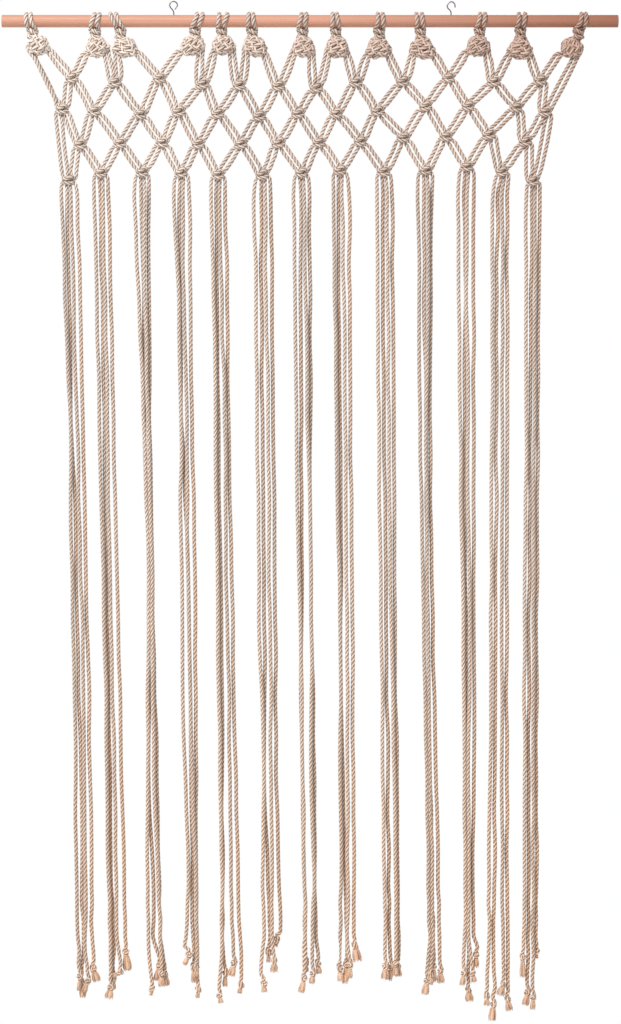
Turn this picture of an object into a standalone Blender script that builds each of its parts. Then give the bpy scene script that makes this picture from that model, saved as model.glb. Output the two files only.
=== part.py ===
"""Macrame wall hanging: cotton rope tied in a net of diamonds over a wooden dowel, with long tails.

Metres, +Z up. The origin is the middle of the dowel's axis, +X runs along the dowel and the front of
the hanging faces -Y. Sizes below are in millimetres, and MM turns them into metres.
"""

import math
from collections import namedtuple

import bmesh
import bpy
from mathutils import Vector

MM = 0.001
GAP = 0.3  # air between two pieces that touch
SEAT_GROWTH = 0.9  # of the corners of a knot's seat, which leaves GAP at the nearest faces
TINY = 1e-7  # metres: points this close are one point

# Dowel and screw eyes.
DOWEL_LENGTH = 1000.0
DOWEL_RADIUS = 10.0
DOWEL_SIDES = 20
DOWEL_CHAMFER = 0.8
EYE_PLACES = {"screw_eye_left": -221.0, "screw_eye_right": 229.0}  # x along the dowel
EYE_WIRE_RADIUS = 1.0
EYE_RING_RADIUS = 6.5  # to the middle of the wire
EYE_RING_HEIGHT = 25.5  # of the ring's middle above the dowel's axis
EYE_RING_ARC = (-62.0, 236.0)  # degrees: from the free end, over the top, to the neck
EYE_RING_STEPS = 12
EYE_SIDES = 6
SHANK_DEPTH = 8.0  # how far the shank is sunk in the dowel
SHANK_HOLE_SIDES = 8

# Rope.
ROPE_RADIUS = 3.25
LEG_RADIUS = 3.7  # to the corners of a leg's three-sided strands
LEG_SIDES = 3
PAIR_SPACING = 9.2  # between the middles of the two strands of a leg
WEAVE_DEPTH = 1.0  # how far a leg's strands pass in front of or behind the net's plane
WEAVE_TURN = 2.4  # radians from one strand's place in depth to the next one's
WEAVE_SHIFT = 1.9  # radians between a strand's two ends
DEPTH_STEP = 3.7  # neighbouring tails hang this far in front of and behind the net's plane

# The loops over the dowel, and the neck where a group's four strands come together.
LOOP_STEPS = 5
LOOP_START = -25.0  # degrees below the dowel's axis at which a loop leaves its round
LOOP_SPREAD_BELOW = 14.0
NECK_HEIGHT = -17.0
LOOP_END = (4.0, -24.0)  # depth and height of a loop's end, inside the berry knot

# One row a group of four strands, from left to right: the x of its loops over the dowel and how far
# apart they lie, their x just below the dowel, and the middle of the berry knot.
Group = namedtuple("Group", "top_x top_spread low_x berry_x berry_z")
GROUPS = (
    Group(-457, 7, -452, -441, -39),
    Group(-346, 8, -350, -346, -42),
    Group(-319, 9, -309, -300, -42),
    Group(-179, 9, -184, -191, -39),
    Group(-141, 13, -144, -141, -39),
    Group(-96, 7, -96, -89, -41),
    Group(-10, 8, -13, -11, -42),
    Group(41, 7, 41, 45, -42),
    Group(114, 8, 112, 110, -43),
    Group(177, 9, 178, 183, -43),
    Group(280, 8, 277, 273, -40),
    Group(344, 10, 342, 342, -45),
    Group(444, 7, 436, 424, -43),
)

# The square knots of each row, from left to right: x and z.
Knot = namedtuple("Knot", "x z")
ROW_2 = tuple(Knot(*place) for place in (
    (-386, -91), (-316, -98), (-244, -92), (-174, -101), (-115, -103), (-51, -104),
    (11, -107), (75, -98), (151, -97), (225, -91), (299, -97), (374, -95)))
ROW_3 = tuple(Knot(*place) for place in (
    (-402, -142), (-350, -145), (-275, -150), (-213, -146), (-149, -149), (-82, -153), (-19, -149),
    (43, -149), (110, -145), (188, -137), (257, -137), (335, -139), (382, -146)))
ROW_4 = tuple(Knot(*place) for place in (
    (-373, -199), (-308, -197), (-240, -196), (-181, -198), (-112, -198), (-51, -197),
    (15, -196), (82, -194), (152, -188), (221, -186), (291, -183), (350, -194)))

# Sections of the knots: Section rows run from top to bottom.
Section = namedtuple("Section", "height half_width half_depth")
TIED_KNOT = (
    Section(7.6, 6.5, 3.8), Section(3.8, 11.0, 6.4), Section(0.0, 9.2, 4.8), Section(-3.8, 11.0, 6.4),
    Section(-7.6, 6.5, 3.8))
TIED_KNOT_SIDES = 6
TIED_KNOT_LEAN = 0.12  # how far the turns of a knot rise to one side
PLAIN_KNOT = (Section(8.4, 7.75, 4.2), Section(0.0, 15.5, 9.0), Section(-8.4, 7.75, 4.2))
PLAIN_KNOT_SIDES = 4

# A berry knot's sections, with height as the share of the way from its neck to its foot.
BERRY = (
    Section(0.00, 8.0, 5.6), Section(0.30, 14.0, 10.4), Section(0.42, 13.4, 9.4), Section(0.62, 19.2, 13.6),
    Section(0.74, 17.4, 11.8), Section(0.88, 19.4, 13.0), Section(1.00, 12.0, 8.0))
BERRY_SIDES = 8
BERRY_FOOT = 17.0  # below its middle
BERRY_FORWARD = 3.0  # how far it bulges to the front

# Where a leg's middle starts and ends inside its knots, to the side of a knot's middle and above it.
LEG_FROM_BERRY = (12.0, -8.0)
LEG_FROM_KNOT = (7.2, -3.0)
LEG_TO_KNOT = (7.2, 3.0)
LEG_TO_TAIL = (5.6, 2.6)

# Tails. One row a bundle: its knot in row 5, the x of its four strands at the three heights of
# TAIL_HEIGHTS, and the x and the height of each strand's frayed end.
TAIL_HEIGHTS = (-448, -939, -1475)
Bundle = namedtuple("Bundle", "knot high middle low end_x end_z")
BUNDLES = (
    Bundle(Knot(-391, -257), (-398, -391, -383, -373), (-385, -379, -371, -363), (-377, -369, -363, -354),
           (-375, -367, -360, -346), (-1572, -1585, -1561, -1559)),
    Bundle(Knot(-339, -245), (-346, -337, -331, -324), (-335, -328, -323, -313), (-325, -320, -313, -300),
           (-326, -321, -312, -297), (-1580, -1572, -1548, -1542)),
    Bundle(Knot(-272, -244), (-279, -270, -268, -262), (-264, -262, -256, -254), (-262, -255, -247, -242),
           (-257, -244, -239, -234), (-1579, -1550, -1563, -1545)),
    Bundle(Knot(-209, -245), (-214, -209, -204, -194), (-208, -200, -196, -187), (-201, -191, -188, -183),
           (-198, -191, -186, -182), (-1530, -1561, -1550, -1585)),
    Bundle(Knot(-149, -248), (-157, -151, -143, -135), (-150, -145, -135, -127), (-144, -141, -126, -114),
           (-146, -140, -125, -113), (-1593, -1566, -1550, -1579)),
    Bundle(Knot(-77, -248), (-88, -79, -71, -62), (-82, -74, -65, -56), (-75, -67, -61, -50),
           (-75, -66, -58, -54), (-1574, -1527, -1543, -1498)),
    Bundle(Knot(-13, -245), (-24, -15, -7, 1), (-17, -15, 0, 3), (-8, -8, 4, 10),
           (-13, -8, 2, 13), (-1576, -1553, -1561, -1545)),
    Bundle(Knot(49, -241), (40, 46, 55, 65), (47, 50, 59, 68), (49, 57, 62, 71),
           (49, 59, 65, 75), (-1555, -1558, -1546, -1527)),
    Bundle(Knot(120, -243), (110, 118, 126, 135), (115, 123, 131, 138), (122, 129, 140, 144),
           (122, 130, 140, 146), (-1543, -1556, -1546, -1538)),
    Bundle(Knot(188, -241), (177, 185, 192, 196), (183, 188, 194, 200), (191, 196, 202, 210),
           (187, 196, 200, 211), (-1576, -1548, -1555, -1559)),
    Bundle(Knot(255, -235), (242, 252, 255, 265), (247, 252, 258, 266), (251, 254, 261, 266),
           (248, 258, 265, 270), (-1559, -1593, -1558, -1535)),
    Bundle(Knot(312, -243), (296, 304, 312, 321), (294, 302, 311, 320), (290, 298, 312, 321),
           (287, 295, 312, 323), (-1595, -1623, -1580, -1606)),
    Bundle(Knot(362, -258), (351, 359, 365, 372), (349, 356, 363, 369), (347, 354, 361, 367),
           (347, 351, 360, 368), (-1550, -1597, -1602, -1519)),
)
STRAND_DEPTHS = (-DEPTH_STEP, DEPTH_STEP, -DEPTH_STEP, DEPTH_STEP)
STRAND_ROOTS = (-7.0, -3.2, 3.2, 7.0)  # beside the knot's middle, inside it
STRAND_SHOULDERS = (-12.0, -3.5, 3.5, 12.0)  # where the strands hang clear below the knot
ROOT_DROP = 2.0
SHOULDER_DROP = 15.0

# A strand's end, as height above the frayed tip and the strand's radius there.
TailEnd = namedtuple("TailEnd", "height radius")
TAIL_END = (
    TailEnd(27.0, 3.25), TailEnd(23.0, 4.3), TailEnd(18.0, 4.3), TailEnd(14.0, 2.9), TailEnd(0.0, 4.6))

# Colours are linear red, green and blue.
COTTON = ("cotton_rope", (0.66, 0.50, 0.39), 0.92, 0.0)
BEECH = ("beech_dowel", (0.66, 0.37, 0.25), 0.55, 0.0)
STEEL = ("zinc_wire", (0.55, 0.56, 0.58), 0.35, 1.0)


def at(x, y, z):
    """A point given in millimetres, in metres."""
    return Vector((x, y, z)) * MM


def finish_material(name, colour, roughness, metallic):
    """A plain material with the part's colour."""
    material = bpy.data.materials.new(name)
    material.use_nodes = True
    shader = material.node_tree.nodes["Principled BSDF"]
    shader.inputs["Base Color"].default_value = (*colour, 1.0)
    shader.inputs["Roughness"].default_value = roughness
    shader.inputs["Metallic"].default_value = metallic
    return material


def add_piece(name, form, material, smooth_angle=40.0):
    """Turn a bmesh into a named object with its own material."""
    bmesh.ops.recalc_face_normals(form, faces=form.faces)
    mesh = bpy.data.meshes.new(name)
    form.to_mesh(mesh)
    form.free()
    mesh.shade_smooth()
    mesh.set_sharp_from_angle(angle=math.radians(smooth_angle))
    mesh.materials.append(material)
    piece = bpy.data.objects.new(name, mesh)
    bpy.context.scene.collection.objects.link(piece)
    return piece


def add_helper(name, form, material):
    """An object that only shapes another one."""
    helper = add_piece(name, form, material)
    helper.hide_render = True
    helper.display_type = "WIRE"
    return helper


def combine(piece, helper, operation):
    """Add a helper's form to a piece, or cut it away."""
    modifier = piece.modifiers.new(helper.name, "BOOLEAN")
    modifier.operation = operation
    modifier.object = helper
    modifier.solver = "EXACT"
    modifier.use_self = operation == "UNION"


def close_rings(form, rings):
    """Faces between successive rings of points, and over both ends."""
    for upper, lower in zip(rings, rings[1:]):
        for i in range(len(upper)):
            j = (i + 1) % len(upper)
            form.faces.new((upper[i], upper[j], lower[j], lower[i]))
    form.faces.new(reversed(rings[0]))
    form.faces.new(rings[-1])


def add_knot(form, knot, sections, sides, lean=0.0, grown=0.0):
    """A square knot's body: a stack of elliptic rings whose turns rise to one side by lean."""
    rings = []
    start = 0.5 if sides == 4 else 0.0
    for section in sections:
        outward = math.copysign(grown, section.height) if abs(section.height) > GAP else 0.0
        ring = []
        for i in range(sides):
            turn = 2.0 * math.pi * (i + start) / sides
            x = (section.half_width + grown) * math.cos(turn)
            y = (section.half_depth + grown) * math.sin(turn)
            ring.append(form.verts.new(at(knot.x + x, y, knot.z + section.height + outward + lean * x)))
        rings.append(ring)
    close_rings(form, rings)


def add_berry(form, group):
    """A berry knot: narrow at its neck, under the dowel, and bulging to the front at its foot."""
    foot = group.berry_z - BERRY_FOOT
    rings = []
    for share, half_width, half_depth in BERRY:
        middle_x = group.low_x + (group.berry_x - group.low_x) * min(1.0, 1.6 * share)
        middle_y = -BERRY_FORWARD * math.sin(math.pi * share)
        z = NECK_HEIGHT + (foot - NECK_HEIGHT) * share
        ring = []
        for i in range(BERRY_SIDES):
            turn = 2.0 * math.pi * i / BERRY_SIDES
            ring.append(form.verts.new(at(
                middle_x + half_width * math.cos(turn), middle_y + half_depth * math.sin(turn), z)))
        rings.append(ring)
    close_rings(form, rings)


def add_strand(form, points, radii, across, sides=4):
    """A strand along points, with a corner of its section on each side along the vector across."""
    rings = []
    for i, (point, radius) in enumerate(zip(points, radii)):
        ahead = points[min(i + 1, len(points) - 1)] - point
        behind = point - points[max(i - 1, 0)]
        along = (ahead.normalized() + behind.normalized()).normalized()
        first = (across - along * across.dot(along)).normalized()
        second = along.cross(first)
        ring = []
        for k in range(sides):
            turn = 2.0 * math.pi * k / sides
            ring.append(form.verts.new(
                point + (first * math.cos(turn) + second * math.sin(turn)) * radius * MM))
        rings.append(ring)
    close_rings(form, rings)


def add_loop(form, group, side):
    """One rope's turn over the dowel, from the front of the neck to its back."""
    step = math.radians(180.0 - 2.0 * LOOP_START) / LOOP_STEPS
    radius = (DOWEL_RADIUS + GAP + ROPE_RADIUS) / math.cos(step / 2.0)
    top_x = group.top_x + side * group.top_spread / 2.0
    low_x = group.low_x + side * LOOP_SPREAD_BELOW / 2.0
    end_depth, end_height = LOOP_END
    points = [at(low_x, -end_depth, end_height)]
    for i in range(LOOP_STEPS + 1):
        turn = math.radians(LOOP_START) + step * i
        rise = max(0.0, math.sin(turn))
        x = low_x + (top_x - low_x) * rise
        points.append(at(x, -radius * math.cos(turn), radius * math.sin(turn)))
    points.append(at(low_x, end_depth, end_height))
    add_strand(form, points, [ROPE_RADIUS] * len(points), Vector((1.0, 0.0, 0.0)))


def weave(number):
    """Where a strand's end lies in front of or behind the net's plane."""
    return at(0.0, WEAVE_DEPTH * math.sin(WEAVE_TURN * number), 0.0)


def add_leg(form, number, start, end):
    """The two parallel strands of a leg, from inside one knot to inside the next."""
    start = at(start[0], 0.0, start[1])
    end = at(end[0], 0.0, end[1])
    aside = (end - start).cross(Vector((0.0, 1.0, 0.0))).normalized() * PAIR_SPACING / 2.0 * MM
    for side in (-1, 1):
        strand = 2 * number + max(side, 0)
        points = [start + aside * side + weave(strand), end + aside * side + weave(strand + WEAVE_SHIFT)]
        add_strand(form, points, [LEG_RADIUS] * 2, Vector((0.0, -1.0, 0.0)), LEG_SIDES)


def beside(middle, offset, side):
    """A point to one side of a knot's middle."""
    return middle[0] + side * offset[0], middle[1] + offset[1]


def net_legs():
    """Both ends of every leg: a knot ties the right leg of one knot to the left leg of the next."""
    berries = [(group.berry_x, group.berry_z) for group in GROUPS]
    row_5 = [bundle.knot for bundle in BUNDLES]
    last = len(ROW_2)
    legs = []
    for k in range(last):
        for above, below, drop, reach in (
                (berries, ROW_2, LEG_FROM_BERRY, LEG_TO_KNOT), (ROW_3, ROW_4, LEG_FROM_KNOT, LEG_TO_KNOT)):
            legs.append((beside(above[k], drop, 1), beside(below[k], reach, -1)))
            legs.append((beside(above[k + 1], drop, -1), beside(below[k], reach, 1)))
        for above, below, reach in ((ROW_2, ROW_3, LEG_TO_KNOT), (ROW_4, row_5, LEG_TO_TAIL)):
            legs.append((beside(above[k], LEG_FROM_KNOT, -1), beside(below[k], reach, 1)))
            legs.append((beside(above[k], LEG_FROM_KNOT, 1), beside(below[k + 1], reach, -1)))
    for end, side in ((0, -1), (last, 1)):
        legs.append((beside(berries[end], LEG_FROM_BERRY, side), beside(ROW_3[end], LEG_TO_KNOT, side)))
        legs.append((beside(ROW_3[end], LEG_FROM_KNOT, side), beside(row_5[end], LEG_TO_TAIL, side)))
    return legs


def build_net():
    """The loops, the berry knots and the net down to the legs that meet the knots of row 5."""
    cotton = finish_material(*COTTON)
    knots = bmesh.new()
    for group in GROUPS:
        add_berry(knots, group)
    for row in (ROW_2, ROW_4):
        for knot in row:
            add_knot(knots, knot, PLAIN_KNOT, PLAIN_KNOT_SIDES)
    for knot in ROW_3:
        add_knot(knots, knot, TIED_KNOT, TIED_KNOT_SIDES, TIED_KNOT_LEAN)
    strands = bmesh.new()
    for group in GROUPS:
        add_loop(strands, group, -1)
        add_loop(strands, group, 1)
    for number, (start, end) in enumerate(net_legs()):
        add_leg(strands, number, start, end)
    seats = bmesh.new()
    for bundle in BUNDLES:
        add_knot(seats, bundle.knot, TIED_KNOT, TIED_KNOT_SIDES, TIED_KNOT_LEAN, grown=SEAT_GROWTH)
    net = add_piece("net", knots, cotton)
    combine(net, add_helper("net_strands", strands, cotton), "UNION")
    combine(net, add_helper("row_5_seats", seats, cotton), "DIFFERENCE")


def strand_points(bundle, k):
    """The route of one tail and its radius at each point."""
    knot = bundle.knot
    depth = STRAND_DEPTHS[k]
    heights = (knot.z - SHOULDER_DROP,) + TAIL_HEIGHTS
    places = (knot.x + STRAND_SHOULDERS[k], bundle.high[k], bundle.middle[k], bundle.low[k])
    points = [at(knot.x + STRAND_ROOTS[k], depth / 2.0, knot.z - ROOT_DROP)]
    points += [at(x, depth, z) for x, z in zip(places, heights)]
    radii = [ROPE_RADIUS] * len(points)
    for height, radius in TAIL_END:
        points.append(at(bundle.end_x[k], depth, bundle.end_z[k] + height))
        radii.append(radius)
    return points, radii


def build_tails():
    """One piece a bundle: the knot of row 5 and the four strands that hang from it."""
    for number, bundle in enumerate(BUNDLES, start=1):
        cotton = finish_material(*COTTON)
        head = bmesh.new()
        add_knot(head, bundle.knot, TIED_KNOT, TIED_KNOT_SIDES, TIED_KNOT_LEAN)
        strands = bmesh.new()
        for k in range(len(STRAND_ROOTS)):
            points, radii = strand_points(bundle, k)
            add_strand(strands, points, radii, Vector((0.0, 1.0, 0.0)))
        tail = add_piece(f"tail_{number:02d}", head, cotton)
        combine(tail, add_helper(f"tail_{number:02d}_strands", strands, cotton), "UNION")


def build_dowel():
    """The dowel, with a blind hole for each screw eye's shank."""
    form = bmesh.new()
    bmesh.ops.create_cone(
        form, cap_ends=True, segments=DOWEL_SIDES, radius1=DOWEL_RADIUS * MM,
        radius2=DOWEL_RADIUS * MM, depth=DOWEL_LENGTH * MM)
    rims = [edge for edge in form.edges if abs(edge.verts[0].co.z - edge.verts[1].co.z) < TINY]
    bmesh.ops.bevel(form, geom=rims, offset=DOWEL_CHAMFER * MM, segments=1, affect="EDGES")
    for vertex in form.verts:
        vertex.co = Vector((vertex.co.z, vertex.co.x, vertex.co.y))
    dowel = add_piece("dowel", form, finish_material(*BEECH))
    holes = bmesh.new()
    floor = DOWEL_RADIUS - SHANK_DEPTH - GAP
    for x in EYE_PLACES.values():
        hole = bmesh.ops.create_cone(
            holes, cap_ends=True, segments=SHANK_HOLE_SIDES, radius1=(EYE_WIRE_RADIUS + 1.5 * GAP) * MM,
            radius2=(EYE_WIRE_RADIUS + 1.5 * GAP) * MM, depth=2.0 * DOWEL_RADIUS * MM)
        bmesh.ops.translate(holes, verts=hole["verts"], vec=at(x, 0.0, floor + DOWEL_RADIUS))
    combine(dowel, add_helper("shank_holes", holes, dowel.data.materials[0]), "DIFFERENCE")


def build_screw_eyes():
    """A screw eye: one wire, straight in the dowel and turned into a ring that ends beside its neck."""
    for name, x in EYE_PLACES.items():
        first, last = (math.radians(angle) for angle in EYE_RING_ARC)
        points = []
        for i in range(EYE_RING_STEPS + 1):
            turn = first + (last - first) * i / EYE_RING_STEPS
            points.append(at(
                x + EYE_RING_RADIUS * math.cos(turn), 0.0, EYE_RING_HEIGHT + EYE_RING_RADIUS * math.sin(turn)))
        points.append(at(x, 0.0, EYE_RING_HEIGHT - EYE_RING_RADIUS - 3.0 * EYE_WIRE_RADIUS))
        points.append(at(x, 0.0, DOWEL_RADIUS - SHANK_DEPTH))
        form = bmesh.new()
        add_strand(form, points, [EYE_WIRE_RADIUS] * len(points), Vector((0.0, 1.0, 0.0)), EYE_SIDES)
        add_piece(name, form, finish_material(*STEEL))


def main():
    for thing in list(bpy.data.objects):
        bpy.data.objects.remove(thing)
    build_dowel()
    build_screw_eyes()
    build_net()
    build_tails()


main()
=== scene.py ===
"""Looks of the macrame wall hanging: every rope laid strand by strand from its loop over the dowel,
through the berry knots and the square knots of the net, to its frayed end.

Metres, +Z up. The origin is the middle of the dowel's axis and the hanging faces -Y. The tables below
are in millimetres, and MM turns them into metres.
"""

import math
import random
from collections import namedtuple

import bpy
from mathutils import Matrix, Vector, noise


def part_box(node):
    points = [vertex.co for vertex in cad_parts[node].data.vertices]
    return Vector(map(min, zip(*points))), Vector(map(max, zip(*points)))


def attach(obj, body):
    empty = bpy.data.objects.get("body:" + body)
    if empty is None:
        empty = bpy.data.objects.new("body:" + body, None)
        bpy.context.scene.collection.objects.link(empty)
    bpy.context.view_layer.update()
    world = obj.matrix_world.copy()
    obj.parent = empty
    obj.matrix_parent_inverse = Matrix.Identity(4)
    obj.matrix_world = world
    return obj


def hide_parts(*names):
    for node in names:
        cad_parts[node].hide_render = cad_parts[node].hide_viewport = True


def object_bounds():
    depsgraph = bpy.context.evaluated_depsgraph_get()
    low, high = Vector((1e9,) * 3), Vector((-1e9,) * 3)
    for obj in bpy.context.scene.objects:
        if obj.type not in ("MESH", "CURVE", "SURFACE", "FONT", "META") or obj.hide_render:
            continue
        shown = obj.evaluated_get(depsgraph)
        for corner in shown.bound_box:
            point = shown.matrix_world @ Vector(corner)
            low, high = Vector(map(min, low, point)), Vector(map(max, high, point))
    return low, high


bl_info = {
    "name": "Macrame wall hanging",
    "version": (1, 0, 0),
    "blender": (4, 5, 0),
    "location": "View3D > Sidebar > Hanging",
    "description": "Dresses the wall hanging's solids with laid cotton rope, a wooden dowel and screw eyes",
    "category": "Object",
}

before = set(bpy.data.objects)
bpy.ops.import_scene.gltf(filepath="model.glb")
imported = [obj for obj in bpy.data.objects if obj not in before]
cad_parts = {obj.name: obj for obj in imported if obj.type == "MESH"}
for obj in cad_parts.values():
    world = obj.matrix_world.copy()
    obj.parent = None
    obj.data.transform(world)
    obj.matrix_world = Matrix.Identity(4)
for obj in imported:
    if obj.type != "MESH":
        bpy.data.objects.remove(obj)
SOLIDS_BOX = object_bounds()

MM = 0.001
BODY = "root"

# The picture's size. Each of its pixels shows one square of the grid below, where the hanging is.
IMAGE_WIDTH, IMAGE_HEIGHT = 621, 1024

# The tails are given on a grid of squares, GRID mm wide, whose square (GRID_X, GRID_Z) is the origin.
GRID = 1.623
GRID_X, GRID_Z = 310.0, 21.2

# One row a group of four strands, from left to right: the x of its loops over the dowel and how far
# apart they lie, their x just below the dowel, the middle of the berry knot, and the ball's half width
# and lean, which is in degrees from level and rises to the right.
Group = namedtuple("Group", "top_x top_spread low_x berry_x berry_z ball_width ball_lean")
GROUPS = (
    Group(-457, 7, -455, -442, -39, 12.8, 4),
    Group(-346, 8, -350, -346, -42, 15.6, 22),
    Group(-319, 9, -312, -300, -42, 17.6, -12),
    Group(-179, 9, -184, -191, -39, 16.4, 22),
    Group(-141, 13, -144, -141, -39, 16.2, 15),
    Group(-96, 7, -96, -90, -41, 16.4, -16),
    Group(-10, 8, -13, -11, -42, 15.4, -4),
    Group(40, 7, 41, 44, -42, 15.4, -8),
    Group(114, 8, 114, 110, -43, 16.8, 12),
    Group(177, 9, 178, 182, -44, 17.8, -8),
    Group(280, 8, 277, 272, -40, 16.8, 16),
    Group(344, 10, 342, 341, -45, 17.2, -6),
    Group(444, 7, 442, 424, -43, 12.8, 28),
)

# The square knots of each row, from left to right: x and z. The berry knots are the row above them.
KNOT_ROWS = {
    2: ((-386, -91), (-316, -98), (-244, -92), (-174, -101), (-115, -103), (-51, -104),
        (11, -107), (75, -98), (151, -97), (225, -91), (299, -97), (374, -95)),
    3: ((-402, -142), (-350, -145), (-275, -150), (-213, -146), (-149, -149), (-82, -153), (-19, -149),
        (43, -149), (110, -145), (188, -137), (257, -137), (335, -139), (382, -146)),
    4: ((-373, -199), (-308, -197), (-240, -196), (-181, -198), (-112, -198), (-51, -197),
        (15, -196), (82, -194), (152, -188), (221, -186), (291, -183), (350, -194)),
    5: ((-391, -257), (-339, -245), (-272, -244), (-209, -245), (-149, -248), (-77, -248), (-13, -245),
        (49, -241), (120, -243), (188, -241), (255, -235), (312, -243), (362, -258)),
}
BERRY_ROW, LOWEST_ROW = 1, 5
LAST = len(GROUPS) - 1  # the last group, and the last knot of rows 3 and 5

# How each of a square knot's four cords runs through it, seen from its middle: x, y and z. The outer
# two are tied round the inner two, and each comes out on the side where it went in.
SQUARE_KNOT = {
    "left_outer": (
        (-10.0, 0.2, 4.4), (-8.0, -3.2, 0.2), (-4.2, -6.4, -0.4), (-0.2, -7.8, 2.2), (3.6, -7.0, 4.8),
        (7.0, -2.8, 4.4), (7.4, 0.8, 0.0), (6.2, -3.2, -5.0), (1.8, -6.8, -6.8), (-3.6, -6.4, -6.6),
        (-7.6, -3.2, -6.0), (-10.2, -0.4, -6.4)),
    "left_inner": ((-3.0, 0.0, 9.0), (-2.9, 0.4, 4.0), (-2.9, 0.4, -4.0), (-3.0, 0.0, -9.0)),
    "right_inner": ((3.0, 0.0, 9.0), (2.9, 0.4, 4.0), (2.9, 0.4, -4.0), (3.0, 0.0, -9.0)),
    "right_outer": (
        (10.6, 0.2, 5.8), (9.4, 1.2, 2.4), (5.8, 5.2, 2.0), (0.0, 6.8, 2.2), (-6.2, 4.4, 2.0),
        (-9.0, 0.2, 0.6), (-8.8, 0.6, -2.4), (-6.0, 4.8, -3.8), (0.0, 6.4, -4.2), (6.0, 4.4, -4.4),
        (9.8, 0.4, -5.6)),
}
SLOT_ORDER = tuple(SQUARE_KNOT)
SLOTS = {"left": SLOT_ORDER[:2], "right": SLOT_ORDER[2:]}
MIRRORED = dict(zip(SLOT_ORDER, reversed(SLOT_ORDER)))
KNOT_LEAN = 8.0  # how far a knot leans at most, in degrees
KNOT_WIDTHS = (0.94, 1.06)  # how much its width varies
KNOT_THICKNESS = 0.92  # times the rope's, where a knot presses it

LEG_FOOT = 6.2  # how far from a knot's middle, across and down, a leg begins
LEG_SPACING = 9.6  # between the middles of a leg's two strands
SPACING_VARIES = (0.86, 1.04)  # as a share of it
LEG_SHARES = (0.12, 0.37, 0.63, 0.88)  # how far along a leg its strands are given a place
LEG_BEND, LEG_DEPTH = 1.0, 1.4  # how far a leg bends aside, and forwards or backwards, at most
CROSSED_LEGS = ((1, 0, "left"),)  # row, knot and side of the legs with one strand before the other
CROSSED_SPACING = (0.16, 0.4)  # of their strands from side to side, as a share of the rope's width

# The bent wire of each screw eye, from its free end to its shank: x from the shank and z from the top.
EYE_WAYS = {
    "screw_eye_left": (
        (1.4, -12.9), (4.3, -9.3), (6.1, -5.6), (4.4, -2.0), (1.2, 0.0), (-2.4, 0.0), (-5.6, -2.4),
        (-6.8, -5.8), (-5.6, -9.0), (-2.8, -12.6), (-0.7, -15.4), (0.0, -18.6)),
    "screw_eye_right": (
        (6.2, -9.6), (6.6, -6.0), (5.0, -2.8), (2.8, -0.8), (0.2, 0.0), (-2.6, -1.6), (-5.0, -4.3),
        (-6.5, -7.4), (-5.4, -10.4), (-2.6, -13.4), (-0.4, -16.0), (0.0, -19.0)),
}

# A group's two loops over the dowel: how far round it, in degrees from the front, each is given a place,
# and how far it lies from the middle between the two, in front and behind.
LOOP_TURNS = (-24.0, 0.0, 30.0, 60.0, 90.0, 120.0, 150.0, 180.0, 200.0)
LOOP_FRONT, LOOP_BACK = 4.6, 4.0
LOOP_RISE = 0.56  # of its middle from the wood, as a share of the rope's radius
LOOP_THICKNESS = 1.05  # times the rope's, where the dowel presses it flat

# A berry knot, from the top: a square knot close under the dowel as its neck, and shoulders that run
# down round the ball to where the legs leave. The shoulders are x, y and z from the berry's middle.
NECK_HEIGHT, NECK_DEPTH = -20.0, 1.6
NECK_SHIFT = 0.34  # how far it stands from under the loops towards the berry's middle, as a share
NECK_WIDTH = 0.68  # as a share of a net knot's
SHOULDER_LEAN = 0.6  # as a share of the ball's
SHOULDERS = {
    "left_outer": ((-9.6, 0.5, 12.0), (-13.6, 1.2, 4.0), (-16.8, 0.0, -4.0)),
    "left_inner": ((-5.0, 5.5, 8.0), (-8.0, 6.5, -2.0)),
    "right_inner": ((5.0, 5.5, 8.0), (8.0, 6.5, -2.0)),
    "right_outer": ((10.4, 0.5, 12.0), (14.6, 1.2, 4.0), (17.4, 0.0, -4.0)),
}
FOOT_STEEP = (11.6, -15.5)  # x and z from the berry's middle to the foot of a leg that hangs straight down
FOOT_LEVEL = (20.0, -4.0)  # the same for a leg that runs level

# The ball of a berry: level rings of cord, and upright ones that pass over and under them in turn.
BALL_DEPTH, BALL_HEIGHT = 9.4, 13.5  # half of each
BALL_MIDDLE = Vector((0.6, -2.2, -0.6))  # from the berry's middle
BALL_TAPER = 0.22  # how much narrower it is at its top, and wider at its foot, than at its middle
BALL_TURN = (-52.0, -30.0)  # how far its weave is turned, in degrees
BALL_LUMPS, LUMP_SIZE = 2.6, 1.3  # how uneven it is, and how closely
BALL_LAY = 1.5  # how much longer the twist of its cords is, where the knot has opened it
BALL_CORDS = (0.92, 1.06)  # how thick they are, times the rope's
RING_SPACING = 31.0  # between the level rings at its middle, in degrees
BALL_RINGS = (-60.0, -RING_SPACING, 0.0, RING_SPACING, 60.0)  # how high each lies
RING_SWAY = 4.0  # how far each rises and falls on its way round, in degrees
BALL_UPRIGHTS = 3  # each makes two of the six upright cords
BALL_WEAVE = 1.6  # how far a cord lies over or under the next
BALL_STEPS = 24  # for each ring
HEART_SIZE = 0.94  # of the closed heart that fills the ball, as a share of the ball's

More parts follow.
